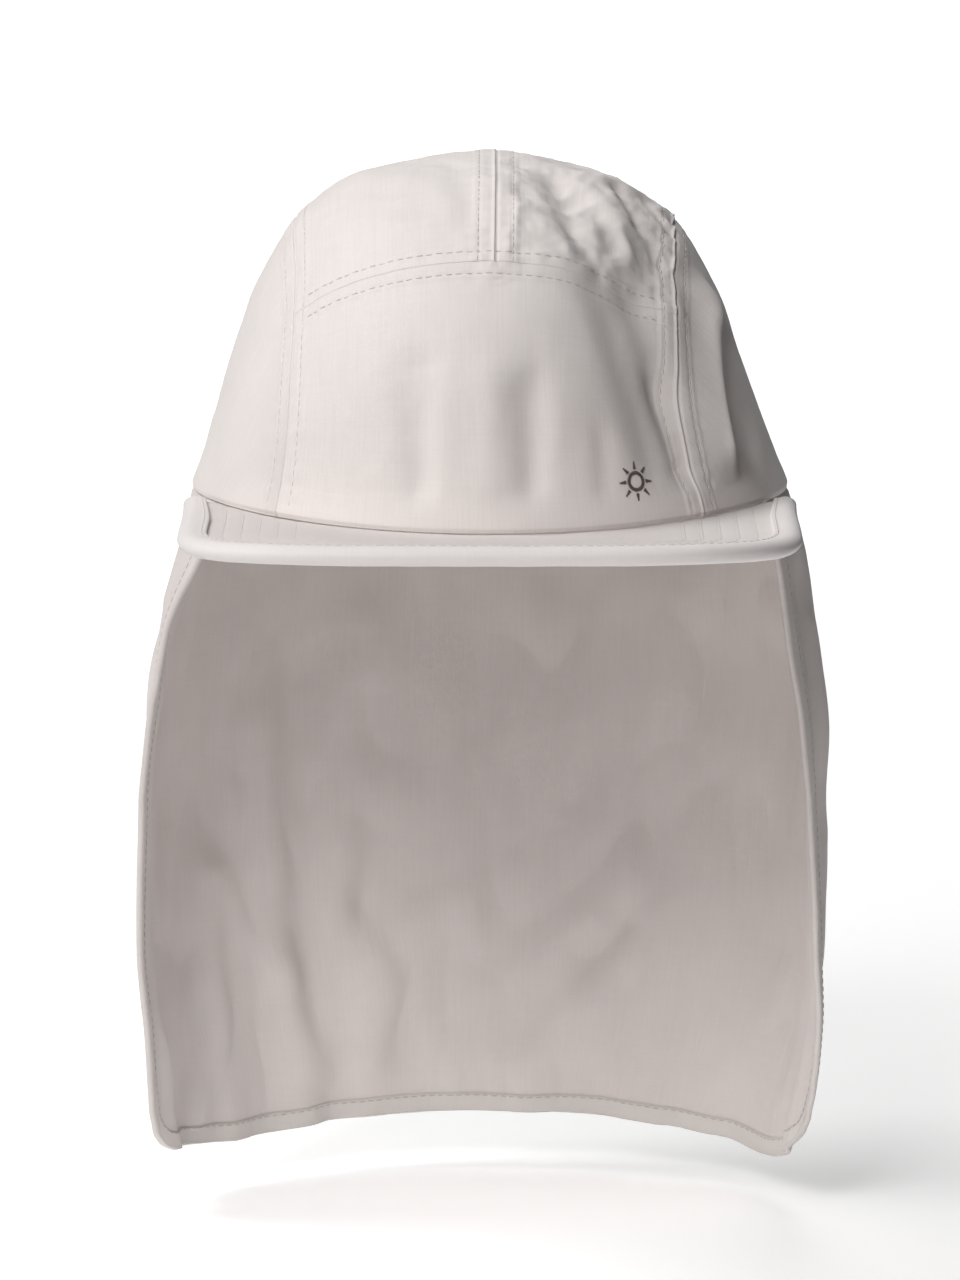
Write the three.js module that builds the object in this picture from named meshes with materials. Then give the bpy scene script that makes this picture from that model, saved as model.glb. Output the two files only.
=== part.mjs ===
// A legionnaire cap: a crown of five cloth panels, a flat soft brim with a bound edge,
// and a neck flap that hangs from the rim behind the brim.
// Millimetres, +Z up, and the brim points to -Y. The origin is the centre of the head
// opening, in the plane of the rim.

import * as THREE from "three";

// Sizes of the cap. The lean is how far the crown's upper half sits left of the rim, and
// the offset is how far its middle seam lies right of the middle.
const RIM_HALF_WIDTH = 90;
const RIM_FRONT = 97;
const RIM_BACK = 100;
const CROWN_HEIGHT = 107.2;
const CROWN_LEAN = 1.5;
const MIDDLE_SEAM_OFFSET = 2;
const CLOTH = 1.3;
const BRIM_LENGTH = 68;
const BRIM_HALF_WIDTH = 88.6;
const BRIM_THICKNESS = 3;
const BINDING_WIDTH = 8.4;
const TAPE = 1;
const FLAP_LENGTH = 207;
const HEM_WIDTH = 6.6;
const HEM_THICKNESS = 2.1;
const CORNER_RADIUS = 20;

// Clearance between pieces that are sewn to each other.
const SEAM_GAP = 0.4;
const SLOT_GAP = 0.3;

// How far the rim rises at the brim's ends, how far the brim rises at the middle of its
// front edge, and how far its sides sag between the two.
const RIM_LIFT = 3.7;
const BRIM_FRONT_LIFT = 2.7;
const BRIM_SAG = 1.2;

// Where the brim's ends meet the rim, as a share of the rim's front depth, and the gap
// behind them before the flap starts.
const BRIM_END = 0.433;
const FLAP_SETBACK = 1.6;

const degrees = THREE.MathUtils.degToRad;

// Reads a column of a table between its rows, on a smooth curve through them.
function read(table, key, at, column) {
  const last = table.length - 1;
  let i = 0;
  while (i < last - 1 && table[i + 1][key] < at) i += 1;
  const slope = (k) => {
    const a = table[Math.max(0, k - 1)];
    const b = table[Math.min(last, k + 1)];
    return (b[column] - a[column]) / (b[key] - a[key]);
  };
  const low = table[i];
  const high = table[i + 1];
  const span = high[key] - low[key];
  const t = THREE.MathUtils.clamp((at - low[key]) / span, 0, 1);
  const t2 = t * t;
  const t3 = t2 * t;
  return (
    low[column] * (2 * t3 - 3 * t2 + 1) +
    high[column] * (3 * t2 - 2 * t3) +
    span * (slope(i) * (t3 - 2 * t2 + t) + slope(i + 1) * (t3 - t2))
  );
}

// Sum of the folds of a table at a place on a piece. Each fold is a soft trough along a
// line between two places; a minus depth stands out instead.
function folded(folds, side, down) {
  let sum = 0;
  for (const f of folds) {
    const alongSide = f.toSide - f.side;
    const alongDown = f.toDown - f.down;
    const length2 = alongSide * alongSide + alongDown * alongDown;
    const t = THREE.MathUtils.clamp(
      ((side - f.side) * alongSide + (down - f.down) * alongDown) / length2, 0, 1);
    const away = Math.hypot(side - f.side - t * alongSide, down - f.down - t * alongDown);
    sum += f.depth * Math.exp(-((away / f.reach) ** 2));
  }
  return sum;
}

// A cloth solid from a face of points: each point of the face goes in along its own
// normal to give the other face, and the edges close it.
function clothSolid(columns, rows, face) {
  const positions = [];
  const index = [];
  const stride = (columns + 1) * (rows + 1);
  for (const layer of [0, 1])
    for (let j = 0; j <= rows; j += 1)
      for (let i = 0; i <= columns; i += 1)
        positions.push(...face(i / columns, j / rows)[layer].toArray());
  const at = (i, j, layer) => layer * stride + j * (columns + 1) + i;
  const quad = (a, b, c, d) => index.push(a, b, c, a, c, d);
  for (let j = 0; j < rows; j += 1)
    for (let i = 0; i < columns; i += 1) {
      quad(at(i, j, 0), at(i + 1, j, 0), at(i + 1, j + 1, 0), at(i, j + 1, 0));
      quad(at(i, j + 1, 1), at(i + 1, j + 1, 1), at(i + 1, j, 1), at(i, j, 1));
    }
  for (let i = 0; i < columns; i += 1) {
    quad(at(i, 0, 1), at(i + 1, 0, 1), at(i + 1, 0, 0), at(i, 0, 0));
    quad(at(i, rows, 0), at(i + 1, rows, 0), at(i + 1, rows, 1), at(i, rows, 1));
  }
  for (let j = 0; j < rows; j += 1) {
    quad(at(0, j, 0), at(0, j + 1, 0), at(0, j + 1, 1), at(0, j, 1));
    quad(at(columns, j, 1), at(columns, j + 1, 1), at(columns, j + 1, 0), at(columns, j, 0));
  }
  const geometry = new THREE.BufferGeometry();
  geometry.setAttribute("position", new THREE.Float32BufferAttribute(positions, 3));
  geometry.setIndex(index);
  geometry.computeVertexNormals();
  return geometry;
}

// The outward normal of a surface given as a function of two numbers.
function normalOf(surface, u, v) {
  const step = 0.002;
  const across = surface(u + step, v).sub(surface(u - step, v));
  const along = surface(u, v + step).sub(surface(u, v - step));
  return across.cross(along).normalize();
}

const group = new THREE.Group();
group.name = "legionnaire_cap";

function addPiece(name, geometry, color, roughness) {
  const material = new THREE.MeshStandardMaterial({ color, roughness, metalness: 0 });
  const mesh = new THREE.Mesh(geometry, material);
  mesh.name = name;
  group.add(mesh);
}

// ---- Rim ----
// The rim dips at the front and at the back of the head and rises at the sides.
const BRIM_SEAM_HALF = RIM_HALF_WIDTH * Math.sqrt(1 - BRIM_END * BRIM_END);

function rimHeight(x) {
  return RIM_LIFT * (x / BRIM_SEAM_HALF) ** 2;
}

// Crown: a dome laid out on a disc. side and back run from -1 to 1 at the rim, minus back
// is the front. The rings give the dome's height and reach at each distance from the top.
const RINGS = [
  { ring: -0.175, height: 0.964, width: -0.29, front: -0.26, back: -0.26 },
  { ring: 0, height: 1, width: 0, front: 0, back: 0 },
  { ring: 0.175, height: 0.964, width: 0.29, front: 0.26, back: 0.26 },
  { ring: 0.275, height: 0.925, width: 0.456, front: 0.41, back: 0.41 },
  { ring: 0.377, height: 0.837, width: 0.598, front: 0.6, back: 0.58 },
  { ring: 0.453, height: 0.746, width: 0.681, front: 0.725, back: 0.69 },
  { ring: 0.519, height: 0.661, width: 0.737, front: 0.8, back: 0.765 },
  { ring: 0.583, height: 0.576, width: 0.781, front: 0.86, back: 0.825 },
  { ring: 0.705, height: 0.409, width: 0.848, front: 0.935, back: 0.91 },
  { ring: 0.827, height: 0.24, width: 0.91, front: 0.975, back: 0.965 },
  { ring: 1, height: 0, width: 1, front: 1, back: 1 },
];

// Folds of the crown: the ends of each on the disc (side, and down the disc's front to
// back line), its half-width on the disc, and its depth as a share of the crown's height.
const CROWN_FOLDS = [
  { side: -0.2, down: -0.66, toSide: -0.23, toDown: -0.9, reach: 0.05, depth: 0.012 },
  { side: 0.11, down: -0.74, toSide: 0.13, toDown: -0.88, reach: 0.05, depth: 0.01 },
  { side: 0.27, down: -0.46, toSide: 0.5, toDown: -0.72, reach: 0.06, depth: 0.02 },
  { side: 0.16, down: -0.22, toSide: 0.36, toDown: -0.36, reach: 0.09, depth: 0.036 },
  { side: 0.3, down: -0.12, toSide: 0.42, toDown: -0.26, reach: 0.05, depth: 0.014 },
  { side: -0.14, down: -0.2, toSide: -0.42, toDown: -0.3, reach: 0.1, depth: 0.007 },
  { side: 0.22, down: 0, toSide: 0.29, toDown: 0.01, reach: 0.08, depth: 0.013 },
  { side: 0.56, down: -0.3, toSide: 0.72, toDown: -0.52, reach: 0.06, depth: 0.016 },
  { side: 0.6, down: -0.1, toSide: 0.86, toDown: -0.32, reach: 0.07, depth: -0.012 },
  { side: -0.5, down: -0.3, toSide: -0.74, toDown: -0.5, reach: 0.09, depth: 0.01 },
  { side: 0.1, down: 0.4, toSide: 0.34, toDown: 0.62, reach: 0.09, depth: 0.014 },
  { side: -0.16, down: 0.5, toSide: -0.3, toDown: 0.74, reach: 0.09, depth: 0.012 },
  { side: -0.6, down: 0.16, toSide: -0.84, toDown: 0.3, reach: 0.08, depth: 0.012 },
];

function dome(side, back) {
  const ring = Math.max(1e-6, Math.hypot(side, back));
  const height = read(RINGS, "ring", ring, "height");
  const depth = back < 0
    ? RIM_FRONT * read(RINGS, "ring", ring, "front")
    : RIM_BACK * read(RINGS, "ring", ring, "back");
  const x = (RIM_HALF_WIDTH * read(RINGS, "ring", ring, "width") * side) / ring;
  const lean = CROWN_LEAN * THREE.MathUtils.smoothstep(height, 0, 0.5);
  const base = rimHeight(x) + BRIM_THICKNESS / 2 + SEAM_GAP;
  return new THREE.Vector3(
    x - lean, (depth * back) / ring, CROWN_HEIGHT * height + base * (1 - height));
}

function crown(side, back) {
  const ring = Math.hypot(side, back);
  const held = 1 - THREE.MathUtils.smoothstep(ring, 0.86, 1);
  const press = held * CROWN_HEIGHT * folded(CROWN_FOLDS, side, back);
  return dome(side, back).addScaledVector(normalOf(dome, side, back), -press);
}

// Seams of the crown on the disc: one down the middle of the top, one round each side
// panel from rim to rim, and one across the front between those two.
const SEAM_SHARE = SEAM_GAP / 2 / RIM_HALF_WIDTH;
const MIDDLE_SEAM = MIDDLE_SEAM_OFFSET / RIM_HALF_WIDTH;
const SIDE_SEAM = { top: 0.405, spread: 0.285 };
const FRONT_SEAM = { middle: -0.47, rise: 0.109 };
const RIM_TURN = Math.asin(SIDE_SEAM.top + SIDE_SEAM.spread);
const SIDE_SEAM_END = Math.cos(RIM_TURN);

function sideSeam(back) {
  return SIDE_SEAM.top + SIDE_SEAM.spread * (back / SIDE_SEAM_END) ** 2;
}

const JUNCTION_SIDE = sideSeam(FRONT_SEAM.middle + FRONT_SEAM.rise);

function frontSeam(side) {
  return FRONT_SEAM.middle + FRONT_SEAM.rise * (side / JUNCTION_SIDE) ** 2;
}

// A panel between four curves on the disc: low and high run side to side, first and
// second join their ends.
function panel(columns, rows, low, high, first, second) {
  const place = (u, v) => {
    const corner = low(0).multiplyScalar((1 - u) * (1 - v))
      .addScaledVector(low(1), u * (1 - v))
      .addScaledVector(high(0), (1 - u) * v)
      .addScaledVector(high(1), u * v);
    return low(u).multiplyScalar(1 - v)
      .addScaledVector(high(u), v)
      .addScaledVector(first(v), 1 - u)
      .addScaledVector(second(v), u)
      .sub(corner);
  };
  return clothSolid(columns, rows, (u, v) => {
    const { x, y } = place(u, v);
    const outer = crown(x, y);
    return [outer, outer.clone().addScaledVector(normalOf(crown, x, y), -CLOTH)];
  });
}

const onRim = (turn) => new THREE.Vector2(Math.sin(turn), -Math.cos(turn));
const mix = THREE.MathUtils.lerp;
const spot = (side, back) => new THREE.Vector2(side, back);
const RIM_TRIM = RIM_TURN - SEAM_SHARE * 1.3;
const SEAM_FRONT = (side) => frontSeam(side) - SEAM_SHARE;
const SEAM_BEHIND = (side) => frontSeam(side) + SEAM_SHARE;

// Front panel, from the brim up to the seam across the front of the crown.
addPiece("front_panel", panel(20, 12,
  (u) => onRim(mix(-RIM_TRIM, RIM_TRIM, u)),
  (u) => {
    const side = mix(-1, 1, u) * (JUNCTION_SIDE - SEAM_SHARE);
    return spot(side, SEAM_FRONT(side));
  },
  (v) => {
    const back = mix(-Math.cos(RIM_TRIM), SEAM_FRONT(JUNCTION_SIDE), v);
    const rim = Math.sin(RIM_TRIM) - sideSeam(Math.cos(RIM_TRIM));
    return spot(-sideSeam(back) - mix(rim, -SEAM_SHARE, v), back);
  },
  (v) => {
    const back = mix(-Math.cos(RIM_TRIM), SEAM_FRONT(JUNCTION_SIDE), v);
    const rim = Math.sin(RIM_TRIM) - sideSeam(Math.cos(RIM_TRIM));
    return spot(sideSeam(back) + mix(rim, -SEAM_SHARE, v), back);
  }), "#dedad7", 0.9);

// Two top panels, from the front seam over the top to the rim behind, one each side of
// the middle seam.
function topPanel(turn) {
  const inner = SEAM_SHARE + turn * MIDDLE_SEAM;
  const backTurn = Math.PI - RIM_TRIM;
  const low = (u) => {
    const side = mix(inner, JUNCTION_SIDE - SEAM_SHARE, u);
    return spot(turn * side, SEAM_BEHIND(side));
  };
  const high = (u) => {
    const rim = onRim(mix(Math.PI - Math.asin(inner), backTurn, u));
    return spot(turn * rim.x, rim.y);
  };
  const middle = (v) => spot(turn * inner, mix(SEAM_BEHIND(inner), Math.cos(Math.asin(inner)), v));
  const outside = (v) => {
    const back = mix(SEAM_BEHIND(JUNCTION_SIDE - SEAM_SHARE), Math.cos(RIM_TRIM), v);
    const rim = Math.sin(RIM_TRIM) - sideSeam(Math.cos(RIM_TRIM));
    return spot(turn * (sideSeam(back) + mix(-SEAM_SHARE, rim, v)), back);
  };
  return turn > 0
    ? panel(11, 22, low, high, middle, outside)
    : panel(11, 22, (u) => low(1 - u), (u) => high(1 - u), outside, middle);
}
addPiece("top_panel_left", topPanel(-1), "#e2dfdc", 0.9);
addPiece("top_panel_right", topPanel(1), "#dcd7d4", 0.9);

// Two side panels: each fills the bow of the side seam down to the rim, over the ear.
function sidePanel(turn) {
  const blunt = RIM_TURN + SEAM_SHARE * 5;
  const rim = (u) => {
    const place = onRim(mix(blunt, Math.PI - blunt, u));
    return spot(turn * place.x, place.y);
  };
  const seam = (u) => {
    const back = mix(-1, 1, u) * (SIDE_SEAM_END - SEAM_SHARE * 4);
    return spot(turn * (sideSeam(back) + SEAM_SHARE), back);
  };
  const straight = (a, b) => (v) => spot(mix(a.x, b.x, v), mix(a.y, b.y, v));
  return turn > 0
    ? panel(22, 7, rim, seam, straight(rim(0), seam(0)), straight(rim(1), seam(1)))
    : panel(22, 7, (u) => rim(1 - u), (u) => seam(1 - u),
      straight(rim(1), seam(1)), straight(rim(0), seam(0)));
}
addPiece("side_panel_left", sidePanel(-1), "#e3e1df", 0.9);
addPiece("side_panel_right", sidePanel(1), "#d2ccc8", 0.9);

// ---- Brim ----
// Half of the brim's edge in plan, from the middle of the front to the end at the rim.
// ahead: share of the way from the brim's end, beside the head, to the middle of its
// front edge. across: share of a half-width, which is the rim's at the brim's end and
// turns into the brim's own ahead of it.
const BRIM_CORNER = [
  { across: 0, ahead: 1 },
  { across: 0.32, ahead: 1 },
  { across: 0.52, ahead: 0.99 },
  { across: 0.679, ahead: 0.945 },
  { across: 0.868, ahead: 0.885 },
  { across: 0.992, ahead: 0.79 },
  { across: 0.994, ahead: 0.63 },
  { across: 0.993, ahead: 0.4 },
  { across: 0.997, ahead: 0.18 },
  { across: 1.008, ahead: 0 },
];
const BRIM_END_FRONT = BRIM_END * RIM_FRONT;
const EDGE_PATH = new THREE.Path();
const cornerSpots = BRIM_CORNER.map(({ across, ahead }) => new THREE.Vector2(
  across * mix(RIM_HALF_WIDTH, BRIM_HALF_WIDTH, ahead),
  -mix(BRIM_END_FRONT, RIM_FRONT + BRIM_LENGTH, ahead)));
EDGE_PATH.moveTo(cornerSpots[0].x, cornerSpots[0].y);
for (const i of [1, 4, 7])
  EDGE_PATH.bezierCurveTo(
    cornerSpots[i].x, cornerSpots[i].y, cornerSpots[i + 1].x, cornerSpots[i + 1].y,
    cornerSpots[i + 2].x, cornerSpots[i + 2].y);

// A place on the brim, in plan, as far in from its edge as asked. along runs from -1 at
// the left end to 1 at the right.
function brimPlan(along, inset) {
  const turn = along < 0 ? -1 : 1;
  const place = EDGE_PATH.getPointAt(Math.abs(along));
  const { x, y } = EDGE_PATH.getTangentAt(Math.abs(along));
  return new THREE.Vector2(turn * (place.x - inset * y), place.y + inset * x);
}

// Middle height of the brim over a place in plan.
function brimHeight(x, y) {
  const out = THREE.MathUtils.smoothstep((-y - RIM_FRONT) / BRIM_LENGTH, 0, 1);
  const sag = BRIM_SAG * (x / BRIM_HALF_WIDTH) ** 2 * 4 * out * (1 - out);
  return mix(rimHeight(x), BRIM_FRONT_LIFT, out) - sag;
}

// The brim itself: one soft padded slab from under the crown's lower edge out into the
// fold of its binding.
addPiece("brim", clothSolid(48, 4, (u, v) => {
  const along = mix(-1, 1, u);
  const edge = brimPlan(along, TAPE + SLOT_GAP);
  const rim = onRim(along * Math.acos(BRIM_END));
  const x = mix(edge.x, (RIM_HALF_WIDTH - CLOTH) * rim.x, v);
  const y = mix(edge.y, (RIM_FRONT - CLOTH) * rim.y, v);
  const z = brimHeight(x, y);
  const half = BRIM_THICKNESS / 2;
  return [new THREE.Vector3(x, y, z + half), new THREE.Vector3(x, y, z - half)];
}), "#dcd8d5", 0.9);

// Binding: one tape folded round the brim's edge, from one end of the brim to the other.
const SLOT_HALF = BRIM_THICKNESS / 2 + SLOT_GAP;
const TAPE_HALF = SLOT_HALF + TAPE;
const NOSE = [90, 60, 30, 0, -30, -60, -90].map(degrees);
const BINDING_PROFILE = [
  [BINDING_WIDTH, SLOT_HALF],
  [BINDING_WIDTH, TAPE_HALF],
  ...NOSE.map((turn) => [TAPE_HALF * (1 - Math.cos(turn)), TAPE_HALF * Math.sin(turn)]),
  [BINDING_WIDTH, -TAPE_HALF],
  [BINDING_WIDTH, -SLOT_HALF],
  [TAPE, -SLOT_HALF],
  [TAPE, SLOT_HALF],
];

function swept(profile, stations, place) {
  const positions = [];
  const index = [];
  const count = profile.length;
  for (let i = 0; i <= stations; i += 1)
    for (const [inset, rise] of profile)
      positions.push(...place(i / stations, inset, rise).toArray());
  for (let i = 0; i < stations; i += 1)
    for (let j = 0; j < count; j += 1) {
      const a = i * count + j;
      const b = i * count + ((j + 1) % count);
      index.push(a, b, b + count, a, b + count, a + count);
    }
  const flat = profile.map(([inset, rise]) => new THREE.Vector2(inset, rise));
  const clockwise = THREE.ShapeUtils.isClockWise(flat);
  for (const [a, b, c] of THREE.ShapeUtils.triangulateShape(flat, [])) {
    const end = stations * count;
    index.push(...(clockwise ? [a, b, c] : [a, c, b]));
    index.push(...(clockwise ? [end + a, end + c, end + b] : [end + a, end + b, end + c]));
  }
  const geometry = new THREE.BufferGeometry();
  geometry.setAttribute("position", new THREE.Float32BufferAttribute(positions, 3));
  geometry.setIndex(index);
  geometry.computeVertexNormals();
  return geometry;
}

// It narrows towards the brim's ends, where the crown leaves it less room.
const BINDING_TAPER = 0.2;

addPiece("brim_binding", swept(BINDING_PROFILE, 48, (share, inset, rise) => {
  const along = mix(-1, 1, share);
  const narrow = 1 - BINDING_TAPER * THREE.MathUtils.smoothstep(Math.abs(along), 0.7, 1);
  const { x, y } = brimPlan(along, inset === BINDING_WIDTH ? inset * narrow : inset);
  return new THREE.Vector3(x, y, brimHeight(x, y) + rise);
}), "#e6e4e2", 0.85);

// ---- Neck flap ----
// The flap hangs from the rim, from one end of the brim round the back to the other.
// across runs from -1 at its left edge to 1 at its right, down from 0 at the rim to 1.
// Levels: width and shift are shares of the rim's half-width, depth and centre of its
// back depth, and spread is the angle from the middle of the back to the flap's edge.
const FLAP_TOP_SPREAD =
  180 - THREE.MathUtils.radToDeg(Math.acos(BRIM_END) + FLAP_SETBACK / RIM_BACK);
const FLAP_LEVELS = [
  { down: 0, width: 1, depth: 1, centre: 0, spread: FLAP_TOP_SPREAD, shift: 0 },
  { down: 0.11, width: 1.063, depth: 0.92, centre: 0.06, spread: 117, shift: 0.015 },
  { down: 0.25, width: 1.123, depth: 0.86, centre: 0.11, spread: 117, shift: 0.008 },
  { down: 0.36, width: 1.16, depth: 0.83, centre: 0.14, spread: 115, shift: 0.001 },
  { down: 0.5, width: 1.169, depth: 0.81, centre: 0.16, spread: 110, shift: -0.014 },
  { down: 0.67, width: 1.176, depth: 0.8, centre: 0.17, spread: 107, shift: -0.018 },
  { down: 0.8, width: 1.162, depth: 0.8, centre: 0.17, spread: 101, shift: -0.014 },
  { down: 1, width: 1.128, depth: 0.8, centre: 0.17, spread: 91, shift: -0.029 },
];
// How low the hem hangs round the flap, as a share of the flap's length.
const HEM_LINE = [
  { across: -1, hang: 0.985 },
  { across: -0.58, hang: 1.0155 },
  { across: -0.3, hang: 1.007 },
  { across: 0, hang: 1 },
  { across: 0.3, hang: 1.003 },
  { across: 0.52, hang: 1.015 },
  { across: 0.72, hang: 1.024 },
  { across: 1, hang: 0.962 },
];
// Folds of the flap: the ends of each, its half-width as a share of half the flap's
// spread, and its depth as a share of the flap's length, minus where it stands out.
const FLAP_FOLDS = [
  { side: -0.4, down: 0.38, toSide: -0.37, toDown: 1, reach: 0.045, depth: 0.014 },
  { side: -0.53, down: 0.6, toSide: -0.57, toDown: 1.02, reach: 0.04, depth: 0.012 },
  { side: -0.22, down: 0.24, toSide: -0.23, toDown: 0.9, reach: 0.05, depth: 0.012 },
  { side: -0.31, down: 0.3, toSide: -0.3, toDown: 1, reach: 0.05, depth: -0.008 },
  { side: -0.8, down: 0.12, toSide: -0.62, toDown: 0.5, reach: 0.08, depth: -0.012 },
  { side: -0.92, down: 0.3, toSide: -0.9, toDown: 0.8, reach: 0.05, depth: 0.01 },
  { side: -0.88, down: 0.86, toSide: -0.87, toDown: 1.05, reach: 0.06, depth: 0.02 },
  { side: 0.04, down: 0.1, toSide: 0.02, toDown: 0.8, reach: 0.08, depth: -0.01 },
  { side: -0.2, down: 0.82, toSide: -0.05, toDown: 0.7, reach: 0.05, depth: 0.01 },
  { side: 0.08, down: 0.95, toSide: 0.24, toDown: 0.76, reach: 0.05, depth: 0.01 },
  { side: 0.3, down: 0.2, toSide: 0.34, toDown: 0.96, reach: 0.07, depth: 0.012 },
  { side: 0.52, down: 0.28, toSide: 0.56, toDown: 1, reach: 0.07, depth: -0.012 },
  { side: 0.72, down: 0.2, toSide: 0.76, toDown: 0.9, reach: 0.05, depth: 0.014 },
  { side: 0.9, down: 0.14, toSide: 0.9, toDown: 0.6, reach: 0.05, depth: 0.016 },
  { side: 0.88, down: 0.76, toSide: 0.87, toDown: 1.05, reach: 0.06, depth: 0.018 },
];

// The left side hangs straight forward past its widest place, and the right side curls in.
function hangs(across, down) {
  const at = (column) => read(FLAP_LEVELS, "down", down, column);
  const turn = degrees(across * at("spread"));
  const forward = mix(RIM_FRONT / RIM_BACK, 1, THREE.MathUtils.smoothstep(down, 0, 0.25));
  const depth = RIM_BACK * at("depth") * (Math.cos(turn) < 0 ? forward : 1);
  const top = rimHeight(RIM_HALF_WIDTH * Math.sin(turn)) + BRIM_THICKNESS / 2;
  const straight = turn < -Math.PI / 2 ? THREE.MathUtils.smoothstep(down, 0, 0.2) : 0;
  const side = mix(Math.sin(turn), -1, straight);
  return new THREE.Vector3(
    RIM_HALF_WIDTH * (at("width") * side + at("shift")),
    RIM_BACK * at("centre") + depth * Math.cos(turn),
    mix(top, -FLAP_LENGTH * read(HEM_LINE, "across", across, "hang"), down));
}

function flap(across, down) {
  const loose = THREE.MathUtils.smoothstep(down, 0, 0.18);
  const press = loose * FLAP_LENGTH * folded(FLAP_FOLDS, across, down);
  return hangs(across, down).addScaledVector(normalOf(hangs, across, down), -press);
}

// Half of the flap's spread in millimetres at a level, up to where its corners begin.
const CORNER_DOWN = 1 - CORNER_RADIUS / FLAP_LENGTH;

function halfSpread(down) {
  const level = Math.min(down, CORNER_DOWN);
  const reach = read(FLAP_LEVELS, "down", level, "width") * RIM_HALF_WIDTH
    + read(FLAP_LEVELS, "down", level, "depth") * RIM_BACK;
  return (degrees(read(FLAP_LEVELS, "down", level, "spread")) * reach) / 2;
}

// The flap's outline, as far in from its edge as asked: down the left edge, round the
// corner, along the hem, round the other corner and up. Steps of each stretch:
const SIDE_STEPS = 13;
const CORNER_STEPS = 6;
const HEM_STEPS = 46;
const OUTLINE_STEPS = 2 * (SIDE_STEPS + CORNER_STEPS) + HEM_STEPS;

function flapOutline(step, inset) {
  const turn = step * 2 > OUTLINE_STEPS ? 1 : -1;
  const near = turn > 0 ? OUTLINE_STEPS - step : step;
  if (near <= SIDE_STEPS) {
    const down = (CORNER_DOWN * near) / SIDE_STEPS;
    return new THREE.Vector2(turn * (1 - inset / halfSpread(down)), down);
  }
  const wide = halfSpread(1);
  const bend = CORNER_RADIUS - inset;
  const start = 1 - CORNER_RADIUS / wide;
  const round = Math.min(1, (near - SIDE_STEPS) / CORNER_STEPS) * (Math.PI / 2);
  const past = Math.max(0, near - SIDE_STEPS - CORNER_STEPS) / (HEM_STEPS / 2);
  return new THREE.Vector2(
    turn * (start * (1 - past) + (bend / wide) * Math.cos(round)),
    CORNER_DOWN + (bend / FLAP_LENGTH) * Math.sin(round));
}

// The sheet inside its hem.
const SHEET_INSET = HEM_WIDTH + SLOT_GAP;
const SHEET_COLUMNS = HEM_STEPS + 2 * CORNER_STEPS;

addPiece("neck_flap", clothSolid(SHEET_COLUMNS, SIDE_STEPS, (u, v) => {
  const foot = flapOutline(SIDE_STEPS + u * SHEET_COLUMNS, SHEET_INSET);
  const down = v * foot.y;
  const share = foot.x / (1 - SHEET_INSET / halfSpread(1));
  const across = share * (1 - SHEET_INSET / halfSpread(down));
  const outer = flap(across, down);
  return [outer, outer.clone().addScaledVector(normalOf(flap, across, down), -CLOTH)];
}), "#b5ada8", 0.92);

// Hem: the flap's cloth turned over along its three free edges, thicker than the sheet.
addPiece("flap_hem", clothSolid(OUTLINE_STEPS, 2, (u, v) => {
  const { x, y } = flapOutline(u * OUTLINE_STEPS, mix(HEM_WIDTH, 0, v));
  const normal = normalOf(flap, x, y);
  const spare = (HEM_THICKNESS - CLOTH) / 2;
  const outer = flap(x, y).addScaledVector(normal, spare);
  return [outer, outer.clone().addScaledVector(normal, -HEM_THICKNESS)];
}), "#c2bab6", 0.92);

export default group;
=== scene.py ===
"""A legionnaire cap: five cloth panels, a soft bound brim and a long neck flap."""

import math

import bmesh
import bpy
import numpy as np
from mathutils import Matrix, Vector, noise


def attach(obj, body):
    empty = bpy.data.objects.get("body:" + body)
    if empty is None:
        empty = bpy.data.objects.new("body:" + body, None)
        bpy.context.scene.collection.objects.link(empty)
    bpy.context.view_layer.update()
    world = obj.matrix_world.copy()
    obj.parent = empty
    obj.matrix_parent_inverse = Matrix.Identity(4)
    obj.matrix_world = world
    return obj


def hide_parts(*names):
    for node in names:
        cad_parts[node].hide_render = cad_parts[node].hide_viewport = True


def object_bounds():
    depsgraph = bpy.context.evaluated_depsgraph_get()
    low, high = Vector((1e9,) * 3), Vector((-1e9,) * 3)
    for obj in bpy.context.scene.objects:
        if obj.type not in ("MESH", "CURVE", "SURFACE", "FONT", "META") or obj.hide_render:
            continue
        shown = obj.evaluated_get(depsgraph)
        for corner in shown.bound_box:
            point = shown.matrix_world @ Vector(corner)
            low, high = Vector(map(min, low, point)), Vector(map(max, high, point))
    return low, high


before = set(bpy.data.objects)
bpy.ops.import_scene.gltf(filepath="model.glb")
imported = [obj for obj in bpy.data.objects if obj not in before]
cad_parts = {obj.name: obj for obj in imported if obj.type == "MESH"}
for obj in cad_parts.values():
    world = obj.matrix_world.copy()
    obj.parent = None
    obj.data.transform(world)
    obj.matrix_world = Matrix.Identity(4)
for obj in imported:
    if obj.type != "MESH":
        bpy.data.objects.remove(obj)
CAD_LOW, CAD_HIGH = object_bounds()


# ---- Crown ----
# Five panels of light woven cloth are sewn edge to edge over the head. Each seam is
# pressed open and stitched down on both sides, and the sewn bands pucker a little.

MM = 0.001
RIM_HALF_WIDTH = 90 * MM
RIM_FRONT = 97 * MM
RIM_BACK = 100 * MM
CROWN_HEIGHT = 107.2 * MM
CROWN_LEAN = 1.5 * MM
CLOTH = 1.3 * MM
RIM_LIFT = 3.7 * MM
BRIM_THICKNESS = 3 * MM
SEAM_GAP = 0.4 * MM
BRIM_END = 0.433
BRIM_SEAM_HALF = RIM_HALF_WIDTH * math.sqrt(1 - BRIM_END**2)

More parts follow.
